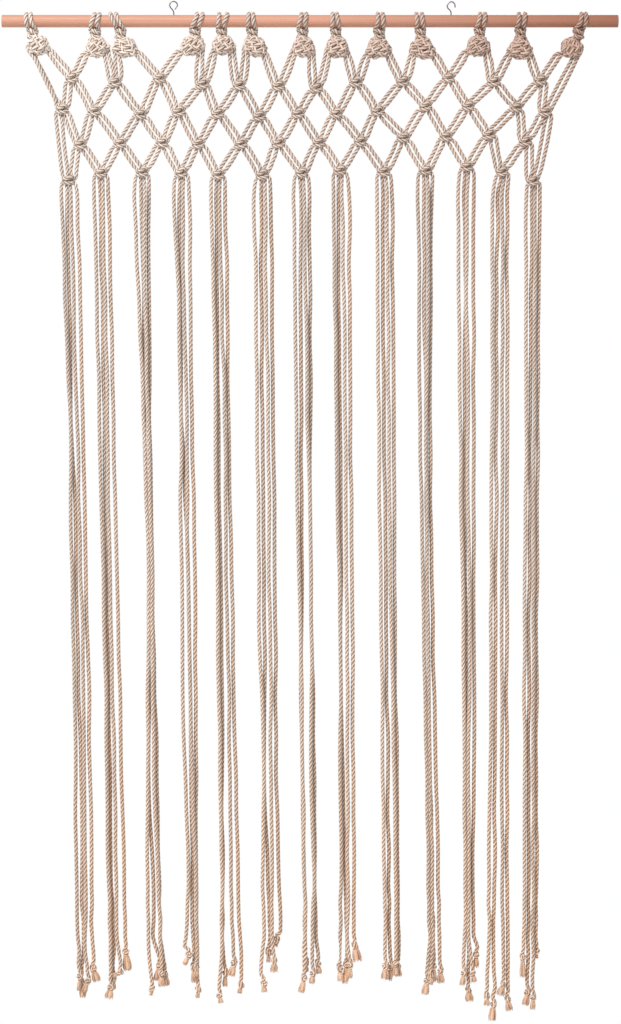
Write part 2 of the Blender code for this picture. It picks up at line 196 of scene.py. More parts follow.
# The tails' x on the grid at these heights, a row a height and a column a strand, for each bundle.
TAIL_MARKS = (193, 297, 417, 537, 657, 777, 887, 937)
TAILS = (
    ((61.5, 67, 71, 77), (65, 69, 74, 80), (70.5, 70.5, 77, 82.5), (71, 75.5, 80, 85),
     (74, 78, 83, 88), (76, 81.2, 84.5, 90), (77, 81.8, 86, 91.5), (78, 83.5, 85, 92)),
    ((94, 100, 103, 108), (97, 102.5, 105.5, 110.5), (99.5, 104.5, 107.5, 113.5), (102.5, 106, 109.5, 116),
     (105, 108, 112, 118.5), (107, 110, 114.5, 121), (109, 111, 116.5, 124), (110.5, 113, 117, 125)),
    ((134.5, 141, 145, 149), (139, 144, 145, 149), (143.5, 144, 148, 149), (148, 148, 151, 151.5),
     (148.5, 148.5, 153, 154), (148, 148.5, 154, 156.7), (148, 153.5, 158.5, 159.5), (148.5, 153, 160, 160)),
    ((174, 179.5, 183, 189), (179, 180, 184, 190.5), (181, 181, 187, 192), (181, 187, 187, 194),
     (182.5, 189.5, 189.5, 195), (185.5, 191, 193, 196.4), (188.5, 192, 196, 196.5), (186, 193, 197, 197)),
    ((211, 216, 219.5, 225), (213.5, 217, 222, 227), (215.5, 218.5, 224.5, 228.5), (217, 220, 226, 231),
     (218, 221.5, 228, 233), (220, 222, 230, 236), (222.5, 222.5, 231, 238), (222, 222, 233, 240)),
    ((254, 261, 265, 270.5), (256, 261.5, 266, 272), (257, 262.5, 268, 273), (258.5, 263.5, 269, 274.5),
     (260, 265, 270.5, 276), (264, 264, 271, 276), (262.5, 268, 272, 279), (264, 270, 272, 279)),
    ((293.5, 301, 304, 309.5), (295, 300.5, 305.5, 310.5), (296.5, 301.5, 307, 310.5),
     (298, 301.5, 310.5, 310.5), (301, 301, 312, 312), (302.5, 302.5, 311, 314.5),
     (304.5, 304.5, 314.5, 314.5), (305, 305, 312.5, 316)),
    ((333.5, 338.5, 341.5, 349), (334.5, 338.5, 344, 350), (336.5, 340, 345, 350.5), (338, 341, 346, 351.5),
     (340.5, 340.5, 347, 353), (340, 343, 347.5, 353.5), (341, 345.5, 348, 354), (340, 347, 347, 354)),
    ((377, 383, 387, 392), (377.5, 383, 387.5, 393), (379, 384, 389, 394), (380, 385.5, 390, 394.5),
     (381.5, 386.5, 392, 395), (382.5, 388, 394.2, 397), (384.5, 388.5, 395.8, 398), (385, 389.5, 396, 399)),
    ((417.5, 424, 428, 432), (419, 424, 428, 431), (420, 426, 426, 430), (422, 427, 427, 431.5),
     (424, 428.5, 428.5, 433), (427, 430, 430, 436), (428, 432, 432, 438), (430, 433, 433, 439.5)),
    ((458, 464, 467, 474), (458.5, 466, 466, 473.5), (460, 465, 468, 474), (461.5, 465, 468.5, 474),
     (463, 466, 469.5, 474), (464.5, 468, 468, 474), (465, 469, 469, 473), (464.5, 468.5, 468.5, 474)),
    ((493, 498, 502, 507.5), (492.5, 497, 502, 507.5), (492, 496.5, 502, 507.5), (491, 496, 501.5, 507),
     (491, 495.5, 501.5, 507), (490, 495, 501.5, 507), (489, 494.5, 502, 507.5), (489, 493.5, 503, 508)),
    ((526.5, 532, 535, 540), (526, 531, 535, 539), (526, 530.5, 534.5, 537.6), (525, 529.5, 533.5, 537.2),
     (524.5, 529, 533.5, 536.6), (524.5, 529, 533, 536.6), (524.5, 529, 533.5, 536.7),
     (523.5, 528, 532.5, 536)),
)
TAIL_DEPTHS = (-3.7, 3.7, -3.7, 3.7)  # how far behind the net's plane each of the four strands hangs
DEPTH_REACHED = 40.0  # how far below its knot a strand has come to its depth
TAIL_SWAY, SWAY_HEIGHT = 2.6, 170.0  # how far the tails sway forwards and backwards, and how slowly
MARK_GAP = 5.0  # between a strand's last mark and its end knot at least, on the grid
LONG_STRETCH = 60.0  # a stretch of strand longer than this is given two more places, a little aside
STRETCH_BEND = 1.3  # how far aside, at most

# Each strand's end, for each bundle, on the grid: the x and y of the end knot's middle, the x and y of
# the tuft's tip, and the tuft's width where it is widest.
TAIL_ENDS = (
    ((80.0, 976, 78.5, 990, 3.5), (81.4, 982, 83.0, 998, 6.5), (88.0, 980, 84.0, 992, 5.5),
     (93.2, 969, 97.0, 982, 8.0)),
    ((110.8, 987, 109.0, 998, 9.0), (113.4, 979, 113.0, 990, 5.5), (120.8, 971, 112.5, 976, 5.0),
     (125.8, 953, 127.7, 971, 8.4)),
    ((152.2, 988, 151.0, 995, 4.0), (159.5, 965, 156.0, 981, 6.0), (161.5, 973, 161.5, 986, 6.5),
     (165.0, 974, 166.5, 986, 7.0)),
    ((189.2, 955, 184.5, 964, 5.0), (193.8, 968, 194.8, 983, 7.3), (196.8, 966, 196.2, 977, 5.5),
     (198.0, 990, 197.2, 998, 4.5)),
    ((219.3, 995, 221.0, 1003, 6.0), (225.2, 974, 224.8, 987, 5.0), (234.0, 963, 231.0, 976, 7.4),
     (241.2, 985, 239.3, 994, 5.0)),
    ((264.2, 984, 264.4, 992, 6.0), (268.8, 953, 268.3, 963, 4.0), (274.0, 961, 274.2, 972, 7.8),
     (276.6, 940, 275.4, 947, 5.5)),
    ((304.2, 978, 301.2, 992, 6.5), (305.6, 963, 306.6, 972, 5.0), (312.9, 973, 311.6, 983, 6.5),
     (318.2, 964, 319.0, 974, 6.0)),
    ((340.0, 968, 340.4, 981, 6.0), (346.6, 965, 345.0, 984, 6.5), (350.0, 965, 349.6, 978, 6.0),
     (354.9, 946, 357.8, 962, 9.0)),
    ((385.5, 966, 384.8, 979, 8.0), (391.3, 968, 388.6, 981, 7.0), (395.8, 964, 395.4, 976, 6.0),
     (398.2, 966, 398.6, 977, 7.0)),
    ((426.6, 980, 424.7, 994, 7.5), (433.8, 967, 432.8, 982, 7.0), (430.5, 973, 430.0, 984, 6.0),
     (440.4, 971, 440.8, 983, 8.0)),
    ((463.8, 973, 462.3, 985, 6.0), (468.6, 990, 469.8, 1002, 9.0), (472.6, 973, 474.0, 982, 6.5),
     (476.6, 956, 476.0, 968, 6.5)),
    ((486.8, 995, 486.3, 1005, 6.0), (493.6, 1005, 492.0, 1021, 8.0), (503.2, 984, 499.8, 995, 8.5),
     (507.9, 999, 509.6, 1011, 7.5)),
    ((522.8, 957, 522.4, 977, 5.5), (527.6, 993, 525.5, 1006, 7.0), (533.0, 997, 532.2, 1009, 5.5),
     (536.8, 952, 536.6, 959, 5.0)),
)
# Where a strand bends, swells or thins just above its end knot, by bundle and strand: x and y on the
# grid, and how many times its usual thickness it is there.
TAIL_BENDS = {
    (3, 0): ((184.9, 946, 1.0),),
    (5, 0): ((262.9, 946, 1.0), (261.3, 962, 1.0), (261.3, 975, 1.0)),
    (5, 3): ((280.4, 927, 1.0), (279.6, 934, 1.0)),
    (6, 0): ((304.6, 944, 1.3), (304.8, 956, 1.36), (304.6, 968, 1.2)),
    (7, 0): ((340.2, 944, 0.74), (340.2, 953, 0.62), (340.0, 961, 0.72)),
    (10, 3): ((475.4, 941, 1.0), (477.6, 948, 1.0)),
    (11, 1): ((495.0, 988, 1.0), (493.0, 997, 1.0)),
}

# An end's overhand knot, from its middle: x, y and z.
OVERHAND = (
    (0.0, 0.0, 8.6), (-2.0, -0.9, 5.6), (-1.5, -2.4, 1.2), (1.9, -2.0, -3.0), (2.5, 1.0, -0.8),
    (0.6, 2.5, 3.2), (-2.3, 1.3, 1.8), (-1.6, -0.6, -3.6))
OVERHAND_SIZES = (0.9, 1.1)  # how much its size varies
OVERHAND_REACH = 7.0  # from its middle to where the strand ends
OVERHAND_THICKNESS = 0.98  # times the rope's
TUFT_FLARE = (0.5, 0.74, 0.92, 1.0, 0.86)  # a tuft's width down its length, as a share of its widest
TUFT_DEPTH = 0.75  # as a share of its width
TUFT_BODY = 0.4  # half the width of the tuft's closed body, as a share of the tuft's width
TUFT_START = 5.0  # from the end knot's middle
BODY_END = 3.0  # how much shorter the body is than the fibres
FIBRE_TURN = 0.618  # from one fibre to the next round the tuft, as a share of a full turn
OUTER_FIBRES, INNER_FIBRES = (0.88, 1.06), (0.3, 0.8)  # how far out they stand, as a share
FIBRE_THINNING = 0.16  # at each step down the tuft

# Cotton: its colour is multiplied by the warm colour below on the strands behind, as painted shade, and low
# down, where it is warmer.
BACK_SHADE_AND_LOW_WARMTH = (1.0, 0.87, 0.76)
# At the top the colour is multiplied from left to right by painted light on the left and painted shade on the
# right, where the light falls off.
LEFT_PAINTED_LIGHT, RIGHT_PAINTED_SHADE = (1.12, 1.18, 1.21, 1.0), (0.70, 0.55, 0.50, 1.0)
PAINTED_FALLOFF_IN_NET, PAINTED_FALLOFF_IN_BERRIES = 0.42, 0.58  # how strong it is in the net, and how much stronger above
YARN_SLANT = -14.0  # yarn lines crossed in one turn along the rope
FUZZ_SCALE, BLOTCH_SCALE = 1400.0, 26.0

# Wood, in metres.
YEAR_RING = 0.0032
HEART_BESIDE = (0.0, 0.021, 0.016)  # from the rings' middle to the dowel's

WHITE = (1.0, 1.0, 1.0, 1.0)

# The studio's lights, in metres and watts, and the place that they point at.
Light = namedtuple("Light", "name place energy size colour")
LIGHTS = (
    Light("key_light", (-4.2, -7.6, 6.4), 1000.0, 2.2, (1.0, 0.985, 0.96)),
    Light("fill_light", (1.6, -4.2, -1.8), 34.0, 2.4, (1.0, 0.99, 0.98)),
    Light("back_light", (0.8, 3.0, 0.6), 40.0, 1.8, (1.0, 0.99, 0.97)),
)
LIT_PLACE = Vector((0.0, 0.0, -0.6))
SURROUND_LIGHT = 0.42  # how much the white surround lights, as a share of how bright it shows

Rope = namedtuple("Rope", "points tint")  # points hold x, y, z and thickness


def length_setting(name, description, default):
    """A length, whose default is given in millimetres."""
    return bpy.props.FloatProperty(
        name=name, description=description, default=default * MM, unit="LENGTH")


def colour_setting(name, description, default):
    """A colour."""
    return bpy.props.FloatVectorProperty(
        name=name, description=description, default=default, subtype="COLOR", size=3)


class RopeSettings(bpy.types.PropertyGroup):
    """The rope that everything is tied from."""

    radius: length_setting("Radius", "Half of the rope's thickness", 3.6)
    lay: length_setting("Lay", "Length of one full turn of the rope's plies", 22.6)
    groove: bpy.props.FloatProperty(
        name="Groove", description="Depth of the grooves between the plies, as a share of the radius",
        default=0.3, min=0.0, max=0.6)
    net_rings: length_setting(
        "Net ring spacing", "Length of rope between two rings of points in knots and net", 2.9)
    tail_rings: length_setting(
        "Tail ring spacing", "Length of rope between two rings of points in the tails", 3.0)
    crest_colour: colour_setting("Crest colour", "Colour of the plies' crests", (0.86, 0.735, 0.645))
    # Painted shade deep in the grooves between the plies.
    groove_shade_colour: colour_setting("Groove colour", "Colour deep between the plies", (0.29, 0.18, 0.125))
    tuft_colour: colour_setting("Tuft colour", "Colour of the frayed ends", (0.80, 0.59, 0.45))


class TuftSettings(bpy.types.PropertyGroup):
    """The frayed ends."""

    fibres: bpy.props.IntProperty(
        name="Fibres", description="Fibres in each frayed end", default=46, min=6, max=120)
    fibre_radius: length_setting("Fibre radius", "Half of a fibre's thickness", 0.72)


class RodSettings(bpy.types.PropertyGroup):
    """The dowel and its screw eyes."""

    chamfer: length_setting("Chamfer", "Worn edge at the dowel's sawn ends", 0.8)
    wood_colour: colour_setting("Wood colour", "Colour of the pale wood", (0.70, 0.365, 0.255))
    grain_colour: colour_setting("Grain colour", "Colour of the darker year rings", (0.60, 0.29, 0.195))
    # Partly the wood's own tone and partly painted shade, where the light falls off to the right.
    right_tone_and_shade: colour_setting(
        "Deepening", "What the wood's colours are multiplied by at the dowel's right end",
        (0.53, 0.41, 0.36))
    wire_radius: length_setting("Wire radius", "Half of the screw eye's wire", 1.0)


class StageSettings(bpy.types.PropertyGroup):
    """The studio."""

    floor_radius: length_setting("Floor radius", "Radius of the pale floor", 3000.0)
    floor_drop: length_setting("Floor drop", "From the lowest tail to the floor", 580.0)
    focal_length: bpy.props.FloatProperty(
        name="Focal length", description="Of the camera's lens, in millimetres", default=100.0, min=1.0)


def settings():
    """The settings that the panel shows."""
    return bpy.context.scene.hanging


class HangingSettings(bpy.types.PropertyGroup):
    """All that a user would change."""

    rope: bpy.props.PointerProperty(type=RopeSettings)
    tuft: bpy.props.PointerProperty(type=TuftSettings)
    rod: bpy.props.PointerProperty(type=RodSettings)
    stage: bpy.props.PointerProperty(type=StageSettings)


# ---------------------------------------------------------------- lines that the ropes follow


def smooth_line(points, step=2.2):
    """Points about a step apart on a smooth curve through the given ones."""
    points = [Vector(point) for point in points]
    padded = [2 * points[0] - points[1], *points, 2 * points[-1] - points[-2]]
    line = []
    for before, start, end, after in zip(padded, padded[1:], padded[2:], padded[3:]):
        span = (end - start).length
        root = math.sqrt(span)
        root_before = math.sqrt(max(0.01, (start - before).length))
        root_after = math.sqrt(max(0.01, (after - end).length))
        leaving = ((start - before) / root_before - (end - before) / (root_before + root)
                   + (end - start) / root) * root
        arriving = ((end - start) / root - (after - start) / (root + root_after)
                    + (after - end) / root_after) * root
        count = max(1, round(span / step))
        for i in range(count):
            t = i / count
            line.append(
                start * (1 + 2 * t) * (1 - t) ** 2 + leaving * t * (1 - t) ** 2
                + end * t * t * (3 - 2 * t) - arriving * t * t * (1 - t))
    line.append(points[-1])
    return line


def thick(points, thickness):
    """Give plain points a thickness."""
    return [Vector((*point, thickness)) for point in points]


def knot_way(place, seed, slot, scale=1.0, mirrored=False):
    """The way of one cord through a square knot, with a lean and a width that differ from knot to knot."""
    chance = random.Random(seed)
    lean = Matrix.Rotation(math.radians(chance.uniform(-KNOT_LEAN, KNOT_LEAN)), 3, "Y")
    width = scale * chance.uniform(*KNOT_WIDTHS)
    if mirrored:
        slot = MIRRORED[slot]
        width = -width
    way = [Vector(place) + lean @ Vector((across * width, depth, rise))
           for across, depth, rise in SQUARE_KNOT[slot]]
    return thick(way, KNOT_THICKNESS)


def net_knot_way(row, number, slot):
    """The way of one cord through a knot of the net."""
    x, z = KNOT_ROWS[row][number]
    return knot_way((x, 0.0, z), 100 * row + number, slot)


def knot_below(row, number, side):
    """The knot that a pair of strands goes to next, and the side on which it enters."""
    if row % 2 == 0:
        return (row + 1, number, "right") if side == "left" else (row + 1, number + 1, "left")
    if side == "left":
        return (row + 2, 0, "left") if number == 0 else (row + 1, number - 1, "right")
    return (row + 2, LAST, "right") if number == LAST else (row + 1, number, "left")


def leg_middle(row, number, side, rise):
    """The middle of a pair of strands where it leaves or enters a knot."""
    across = LEG_FOOT if side == "right" else -LEG_FOOT
    x, z = KNOT_ROWS[row][number]
    return Vector((x + across, 0.0, z + rise))


def berry_middle(group):
    """The middle of a berry knot."""
    return Vector((group.berry_x, 0.0, group.berry_z))


def berry_foot(number, side, end):
    """The middle of a pair of strands where it leaves a berry on its way to the given end."""
    middle = berry_middle(GROUPS[number])
    way = (end - middle).normalized()
    sign = 1.0 if side == "right" else -1.0
    across = FOOT_STEEP[0] + (FOOT_LEVEL[0] - FOOT_STEEP[0]) * way.x * sign
    rise = FOOT_STEEP[1] + (FOOT_LEVEL[1] - FOOT_STEEP[1]) * abs(way.x)
    return middle + Vector((sign * across, 0.0, rise))


def leg_way(upper, lower, place):
    """One strand of a leg. Its two run side by side with a slit between them, or one before the other."""
    end = leg_middle(*lower, LEG_FOOT)
    from_berry = upper[0] == BERRY_ROW
    start = berry_foot(*upper[1:], end) if from_berry else leg_middle(*upper, -LEG_FOOT)
    along = (end - start).normalized()
    aside = Vector((-along.z, 0.0, along.x))
    chance = random.Random(1000 * upper[0] + 10 * upper[1] + (upper[2] == "right"))
    gaps = [LEG_SPACING * chance.uniform(*SPACING_VARIES) for _ in LEG_SHARES]
    rope_width = 2.0 * settings().rope.radius / MM
    behind = 0.0
    if from_berry:
        gaps[0] = rope_width
    if upper in CROSSED_LEGS:
        gaps = [rope_width * chance.uniform(*CROSSED_SPACING) for _ in LEG_SHARES]
        behind = (place - 0.5) * rope_width
    bend = chance.uniform(-LEG_BEND, LEG_BEND)
    depth = chance.uniform(-LEG_DEPTH, LEG_DEPTH)
    points = []
    for share, gap in zip(LEG_SHARES, gaps):
        bow = math.sin(math.pi * share)
        offset = (place - 0.5) * gap + bend * bow
        away = depth * bow + behind * min(1.0, 2.0 * bow)
        points.append(start.lerp(end, share) + aside * offset + Vector((0.0, away, 0.0)))
    return thick(points, 1.0)


def net_strand(number, side, place):
    """One strand from its berry knot down to the lowest row of knots."""
    points = []
    row = BERRY_ROW
    while row < LOWEST_ROW:
        upper = (row, number, side)
        row, number, side = knot_below(row, number, side)
        way = net_knot_way(row, number, SLOTS[side][place])
        points += leg_way(upper, (row, number, side), place)
        points += way[:len(way) // 2] if row == LOWEST_ROW else way
    return points


def loop_way(group, sign, dowel_radius, rope_radius):
    """Over the dowel, from the front to the back. The sign is -1 for the left loop and 1 for the right."""
    radius = dowel_radius + LOOP_RISE * rope_radius
    top = group.top_x + sign * group.top_spread / 2.0
    points = []
    for turn in LOOP_TURNS:
        rise = math.sin(math.radians(turn))
        low = group.low_x + sign * (LOOP_FRONT if turn < 90.0 else LOOP_BACK)
        # It lies at its lower place below the dowel and at its top place from well up its side.
        x = low + (top - low) * max(0.0, min(1.0, 0.4 + rise))
        points.append((x, -radius * math.cos(math.radians(turn)), radius * rise))
    return thick(points, LOOP_THICKNESS)


def group_ropes(number, dowel_radius, rope_radius):
    """The two ropes of a group. Each runs from the lowest row up through the net, over the dowel and back."""
    group = GROUPS[number]
    middle = berry_middle(group)
    neck = (group.low_x + NECK_SHIFT * (group.berry_x - group.low_x), NECK_DEPTH, NECK_HEIGHT)
    lean = Matrix.Rotation(math.radians(-SHOULDER_LEAN * group.ball_lean), 3, "Y")
    ropes = []
    for side, sign in (("left", -1), ("right", 1)):
        ways = []
        for place, slot in enumerate(SLOTS[side]):
            shoulder = [middle + lean @ Vector(point) for point in SHOULDERS[slot]]
            ways.append(knot_way(neck, number, slot, NECK_WIDTH, mirrored=True)
                        + thick(shoulder, KNOT_THICKNESS) + net_strand(number, side, place))
        outer, inner = ways if side == "left" else reversed(ways)
        ropes.append(outer[::-1] + loop_way(group, sign, dowel_radius, rope_radius) + inner)
    return ropes


def ball_ropes(number):
    """The cords of a berry's woven ball, each a line that meets its own start."""
    group = GROUPS[number]
    middle = berry_middle(group) + BALL_MIDDLE
    chance = random.Random(60 + number)
    lean = Matrix.Rotation(math.radians(-group.ball_lean), 3, "Y")
    weave = Matrix.Rotation(math.radians(chance.uniform(*BALL_TURN)), 3, "Y")
    first = chance.uniform(0.0, math.pi / BALL_UPRIGHTS)

    def spot(up, around, outward):
        level = math.cos(up)
        way = weave @ Vector((level * math.cos(around), level * math.sin(around), math.sin(up)))
        outward += BALL_LUMPS * noise.noise(way * LUMP_SIZE + Vector((0.0, 0.0, 5.0 * number)))
        width = group.ball_width * (1.0 - BALL_TAPER * way.z)
        sizes = (width + outward, BALL_DEPTH + outward, BALL_HEIGHT + outward)
        return middle + lean @ Vector([size * share for size, share in zip(sizes, way)])

    ropes = []
    steps = [2.0 * math.pi * i / BALL_STEPS for i in range(BALL_STEPS)]
    for ring, height in enumerate(BALL_RINGS):
        wave = BALL_WEAVE if ring % 2 else -BALL_WEAVE
        line = [spot(math.radians(height + RING_SWAY * math.sin(around)), around,
                     wave * math.cos(BALL_UPRIGHTS * (around - first))) for around in steps]
        ropes.append(thick([*line, line[0]], chance.uniform(*BALL_CORDS)))
    for upright in range(BALL_UPRIGHTS):
        around = first + math.pi * upright / BALL_UPRIGHTS
        line = []
        for up in steps:
            sign = 1.0 if (upright + (math.cos(up) < 0.0)) % 2 else -1.0
            rings_up = math.degrees(math.asin(math.sin(up))) / RING_SPACING
            line.append(spot(up, around, sign * BALL_WEAVE * math.cos(math.pi * rings_up)))
        ropes.append(thick([*line, line[0]], chance.uniform(*BALL_CORDS)))
    return ropes


def on_grid(x, y):
    """Millimetres of a place on the grid."""
    return (x - GRID_X) * GRID, (GRID_Z - y) * GRID


def tail_strand(number, place, chance):
    """One tail, from its knot to its end knot, with that knot's middle and the tuft's tip."""
    way = net_knot_way(LOWEST_ROW, number, SLOT_ORDER[place])
    points = way[len(way) // 2 - 1:]
    knot_z = points[0].z
    sway = random.Random(900 + number).uniform(0.0, 2.0 * math.pi)

    def at_depth(x, z, thickness=1.0):
        depth = TAIL_DEPTHS[place] * min(1.0, (knot_z - z) / DEPTH_REACHED)
        return Vector((x, depth + TAIL_SWAY * math.sin(z / SWAY_HEIGHT + sway), z, thickness))

    knot_x, knot_y, tip_x, tip_y, width = TAIL_ENDS[number][place]
    marks = [(row[place], y, 1.0) for y, row in zip(TAIL_MARKS, TAILS[number])]
    marks += TAIL_BENDS.get((number, place), ())
    marks = [mark for mark in marks if mark[1] < knot_y - MARK_GAP]
    previous = None
    for grid_x, grid_y, thickness in (*marks, (knot_x, knot_y, 1.0)):
        x, z = on_grid(grid_x, grid_y)
        if previous and previous[1] - z > LONG_STRETCH:
            for share in (0.33, 0.67):
                aside = chance.uniform(-STRETCH_BEND, STRETCH_BEND)
                points.append(at_depth(previous[0] + (x - previous[0]) * share + aside,
                                       previous[1] + (z - previous[1]) * share))
        points.append(at_depth(x, z, thickness))
        previous = (x, z)
    return points[:-1], points[-1], at_depth(*on_grid(tip_x, tip_y)), width * GRID


def end_knot(knot, tip, chance):
    """An overhand knot's way at the end of a tail, turned at random, whose end points to the tuft's tip."""
    knot, tip = Vector(knot[:3]), Vector(tip[:3])
    turn = Matrix.Rotation(chance.uniform(0.0, 2.0 * math.pi), 3, "Z")
    size = chance.uniform(*OVERHAND_SIZES)
    way = [knot + size * (turn @ Vector(point)) for point in OVERHAND]
    return thick([*way, knot + (tip - knot).normalized() * OVERHAND_REACH], OVERHAND_THICKNESS)


def frayed_end(knot, tip, width, chance):
    """A tuft: its body, and the fibres that stand out round it. Both are lines with a thickness."""
    knot, tip = Vector(knot[:3]), Vector(tip[:3])
    along = (tip - knot).normalized()
    top = knot + along * TUFT_START
    aside = Vector((-along.z, 0.0, along.x))
    depth = Vector((0.0, TUFT_DEPTH, 0.0))
    last = len(TUFT_FLARE) - 1

    def spot(around, share, step):
        spread = 0.5 * width * share * TUFT_FLARE[step]
        return top.lerp(tip, step / last) + spread * (math.cos(around) * aside + math.sin(around) * depth)

    radius = settings().rope.radius / MM
    body = [Vector((*spot(0.0, 0.0, step), TUFT_BODY * width * flare / radius))
            for step, flare in enumerate(TUFT_FLARE)]
    body[-1] -= Vector((*along, 0.0)) * BODY_END
    fibres = []
    for i in range(settings().tuft.fibres):
        around = 2.0 * math.pi * i * FIBRE_TURN
        share = chance.uniform(*(OUTER_FIBRES if i % 3 else INNER_FIBRES))
        points = [spot(around, share, step) for step in range(last + 1)]
        # No two fibres end at the same height or stand off alike.
        points[-1] += along * chance.uniform(-2.5, 1.0) + aside * chance.uniform(-0.7, 0.7)
        fibres.append([Vector((*point, 1.0 - FIBRE_THINNING * step)) for step, point in enumerate(points)])
    return body, fibres


# ---------------------------------------------------------------- node groups


def fill(tree, node, inputs):
    """Link each input that is given a socket, and set each that is given a value."""
    for key, value in inputs.items():
        if isinstance(value, bpy.types.NodeSocket):
            tree.links.new(value, node.inputs[key])
        else:
            node.inputs[key].default_value = value


def add_node(tree, kind, inputs=(), output=0, **properties):
    """One output of a new node."""
    node = tree.nodes.new(kind)
    for name, value in properties.items():
        setattr(node, name, value)
    fill(tree, node, dict(inputs))
    return node.outputs[output]


def add_math(tree, operation, first, second=0.0, third=0.0):
    """What an operation makes of one, two or three numbers."""
    return add_node(tree, "ShaderNodeMath", {0: first, 1: second, 2: third}, operation=operation)


def add_range(tree, value, low, high, first=0.0, last=1.0, kind="LINEAR"):
    """A value moved from the range low to high into the range first to last."""
    return add_node(tree, "ShaderNodeMapRange", {
        0: value, 1: low, 2: high, 3: first, 4: last}, interpolation_type=kind)


def add_mix(tree, share, first, second, clamped=True):
    """A colour between two, or past them where the share isn't clamped."""
    return add_node(tree, "ShaderNodeMix", {
        0: share, 6: first, 7: second}, output=2, data_type="RGBA", clamp_factor=clamped)


def add_tint(tree, colour, tint):
    """A colour multiplied by another."""
    return add_node(tree, "ShaderNodeVectorMath", {0: colour, 1: tint}, operation="MULTIPLY")


def add_scaled(tree, vector, scale):
    """A vector or colour multiplied by a number."""
    return add_node(tree, "ShaderNodeVectorMath", {0: vector, "Scale": scale}, operation="SCALE")


def add_split(tree, vector):
    """A vector's x, y and z."""
    node = tree.nodes.new("ShaderNodeSeparateXYZ")
    tree.links.new(vector, node.inputs[0])
    return node.outputs


def add_noise(tree, place, scale, detail, output=0):
    """Noise between 0 and 1, or a noise of colours."""
    return add_node(tree, "ShaderNodeTexNoise", {"Vector": place, "Scale": scale, "Detail": detail}, output)


def add_record(tree, geometry, name, value, kind="FLOAT", domain="POINT"):
    """Geometry with a named attribute stored on it."""
    return add_node(tree, "GeometryNodeStoreNamedAttribute", {
        "Geometry": geometry, "Name": name, "Value": value}, data_type=kind, domain=domain)


def new_group(name, kind, inputs, outputs):
    """An empty node group with its sockets, each given as its label and type."""
    group = bpy.data.node_groups.new(name, kind)
    for way, sockets in (("INPUT", inputs), ("OUTPUT", outputs)):
        for label, socket in sockets.items():
            group.interface.new_socket(name=label, in_out=way, socket_type=f"NodeSocket{socket}")
    return group


def rope_group():
    """Lays a rope of three plies along each line of edges, or a plain fibre where it has no groove."""
    name = "three_ply_rope"
    if name in bpy.data.node_groups:
        return bpy.data.node_groups[name]
    group = new_group(name, "GeometryNodeTree", {
        "Lines": "Geometry", "Radius": "Float", "Lay": "Float", "Groove": "Float", "Ring spacing": "Float",
        "Sides": "Int", "Start": "Float", "Finish": "Material"}, {"Rope": "Geometry"})
    group.is_modifier = True
    given = group.nodes.new("NodeGroupInput").outputs

    def named(label):
        return add_node(group, "GeometryNodeInputNamedAttribute", {"Name": label}, data_type="FLOAT")

    line = add_node(group, "GeometryNodeMeshToCurve", {"Mesh": given["Lines"]})
    line = add_node(group, "GeometryNodeResampleCurve", {
        "Curve": line, "Length": given["Ring spacing"]}, mode="LENGTH")
    along = add_node(group, "GeometryNodeSplineParameter", output="Length")
    turns = add_math(group, "DIVIDE", along, given["Lay"])
    tilt = add_math(group, "ADD", add_math(group, "MULTIPLY", turns, 2.0 * math.pi), named("phase"))
    line = add_node(group, "GeometryNodeSetCurveTilt", {"Curve": line, "Tilt": tilt})
    line = add_record(group, line, "along", turns)

    circle = add_node(group, "GeometryNodeCurvePrimitiveCircle", {
        "Resolution": given["Sides"], "Radius": given["Radius"]}, mode="RADIUS")
    around = add_math(group, "DIVIDE", add_node(group, "GeometryNodeInputIndex"), given["Sides"])
    # The crests of the three plies, and the hollows between them.
    angle = add_math(group, "MULTIPLY", add_math(group, "ADD", around, given["Start"]), 3.0 * math.pi)
    crest = add_math(group, "ABSOLUTE", add_math(group, "COSINE", angle))
    hollow = add_math(group, "SUBTRACT", 1.0, add_math(group, "POWER", crest, 0.8))
    size = add_math(group, "SUBTRACT", 1.0, add_math(group, "MULTIPLY", hollow, given["Groove"]))
    lobed = add_scaled(group, add_node(group, "GeometryNodeInputPosition"), size)
    profile = add_record(group, circle, "crest", crest)
    profile = add_record(group, profile, "around", around)
    profile = add_node(group, "GeometryNodeSetPosition", {"Geometry": profile, "Position": lobed})

    rope = add_node(group, "GeometryNodeCurveToMesh", {
        "Curve": line, "Profile Curve": profile, "Scale": named("thickness"), "Fill Caps": True})
    around = named("around")
    face_mean = add_node(group, "GeometryNodeFieldOnDomain", {0: around}, domain="FACE", data_type="FLOAT")
    # On the faces that close a ring, its first point counts as a full turn round the rope.
    closing = add_math(group, "MULTIPLY", add_math(group, "LESS_THAN", around, 0.01),
                       add_math(group, "GREATER_THAN", face_mean, 0.3))
    flat = add_node(group, "ShaderNodeCombineXYZ", {
        0: add_math(group, "ADD", around, closing), 1: named("along")})
    rope = add_record(group, rope, "UVMap", flat, "FLOAT2", "CORNER")
    rope = add_node(group, "GeometryNodeSetShadeSmooth", {"Geometry": rope})
    rope = add_node(group, "GeometryNodeSetMaterial", {"Geometry": rope, "Material": given["Finish"]})
    fill(group, group.nodes.new("NodeGroupOutput"), {0: rope})
    return group


